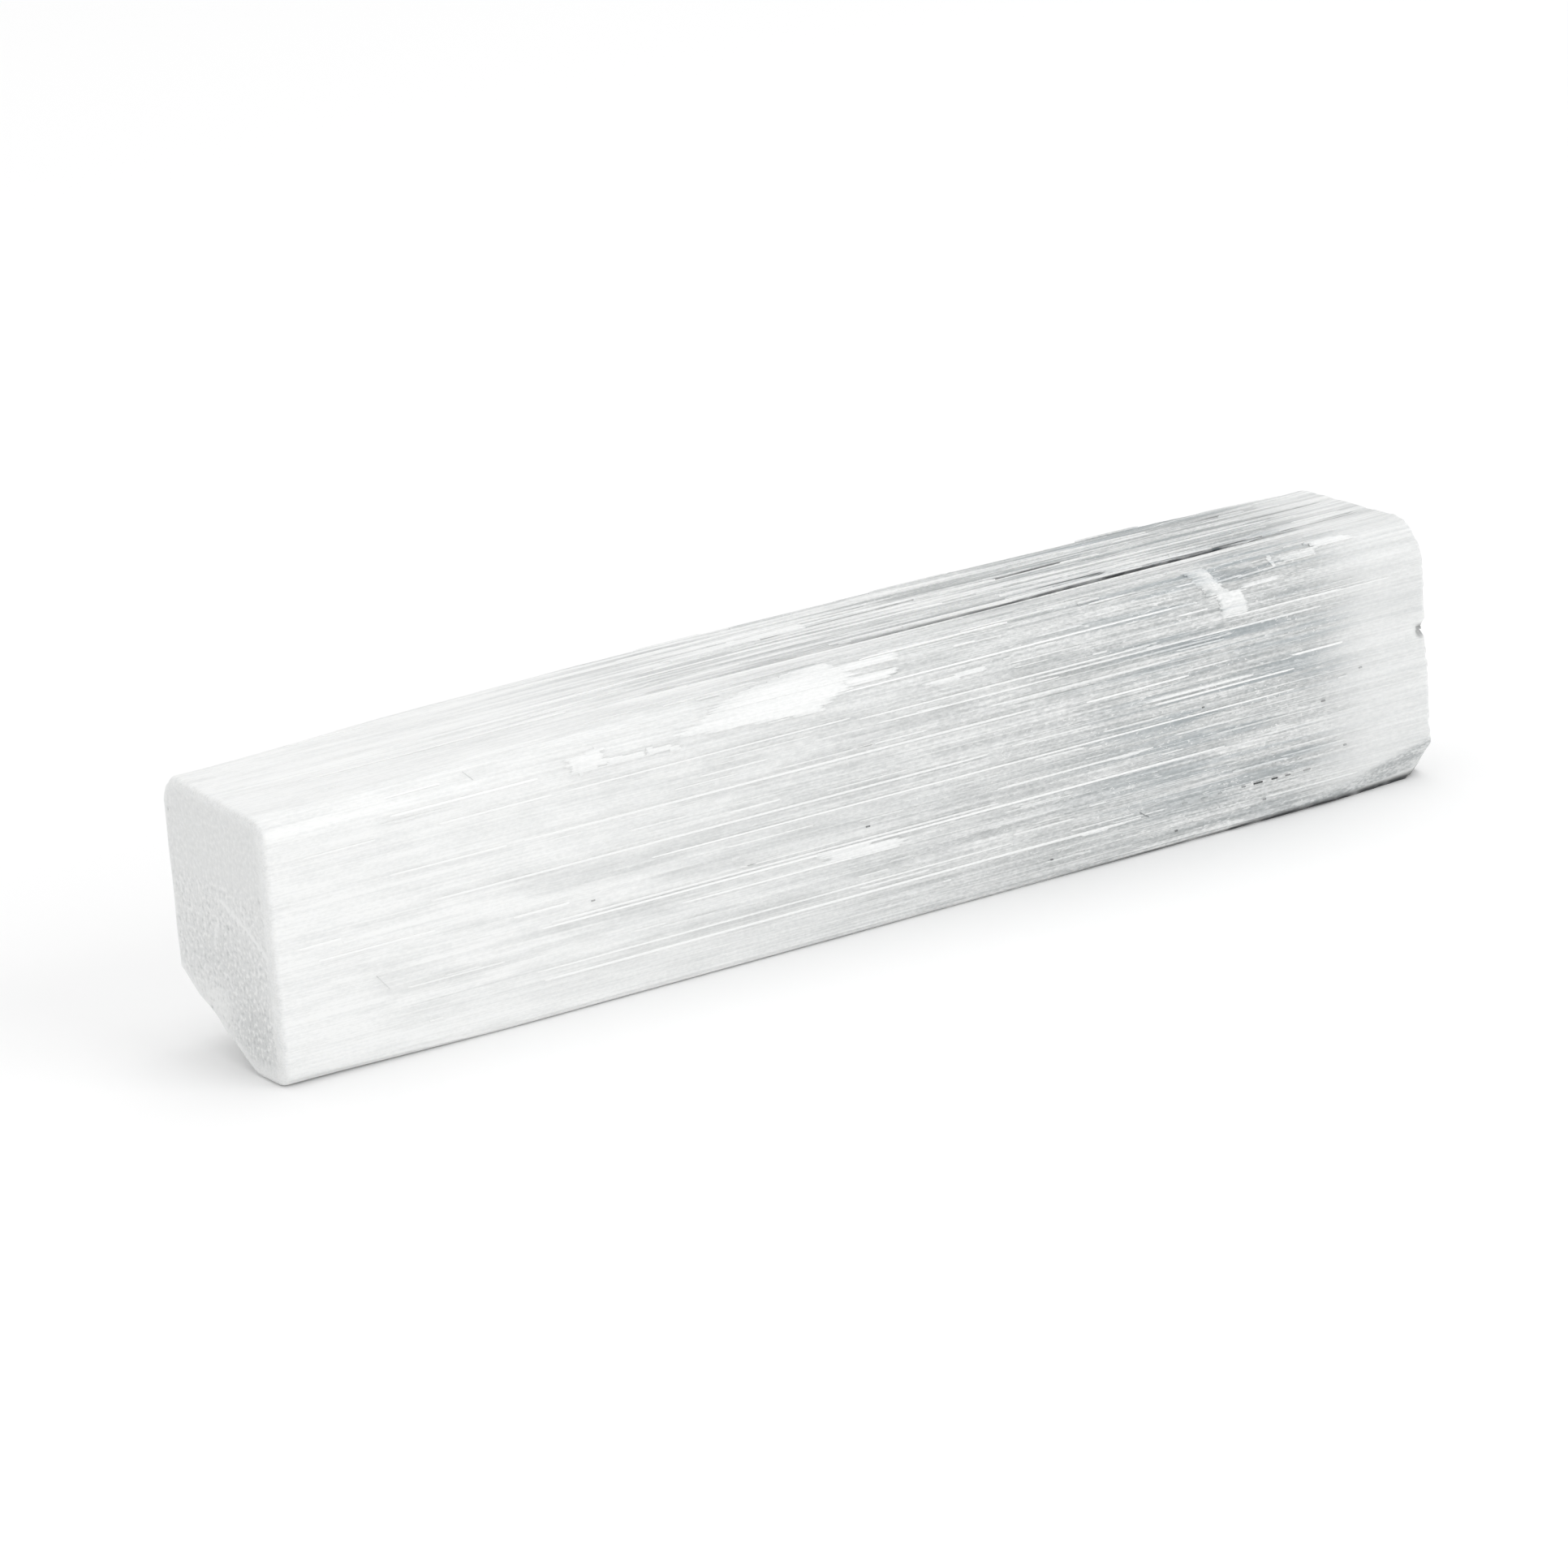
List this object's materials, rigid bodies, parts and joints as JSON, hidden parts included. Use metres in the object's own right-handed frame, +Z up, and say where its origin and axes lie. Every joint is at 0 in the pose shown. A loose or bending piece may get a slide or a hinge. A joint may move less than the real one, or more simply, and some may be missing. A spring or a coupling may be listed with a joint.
{
  "type": "selenite wand",
  "caption": "Selenite (satin spar) wand: a natural bar of silky white fibrous gypsum with rounded long edges, sawn square at one end and rough at the other.",
  "frame": {"origin": "middle of the flat underside that the wand rests on, at the centre of the bounding box in X and Y", "axes": "+X along the wand from the sawn end to the rough end, +Y from the front face to the back face, +Z up"},
  "size_m": [0.1, 0.0162, 0.0202],
  "materials": {
    "selenite": "silky translucent white fibrous gypsum, fine lengthwise fibres, matt where sawn"
  },
  "bodies": {
    "root": {"selenite_wand": "selenite"}
  },
  "joints": []
}
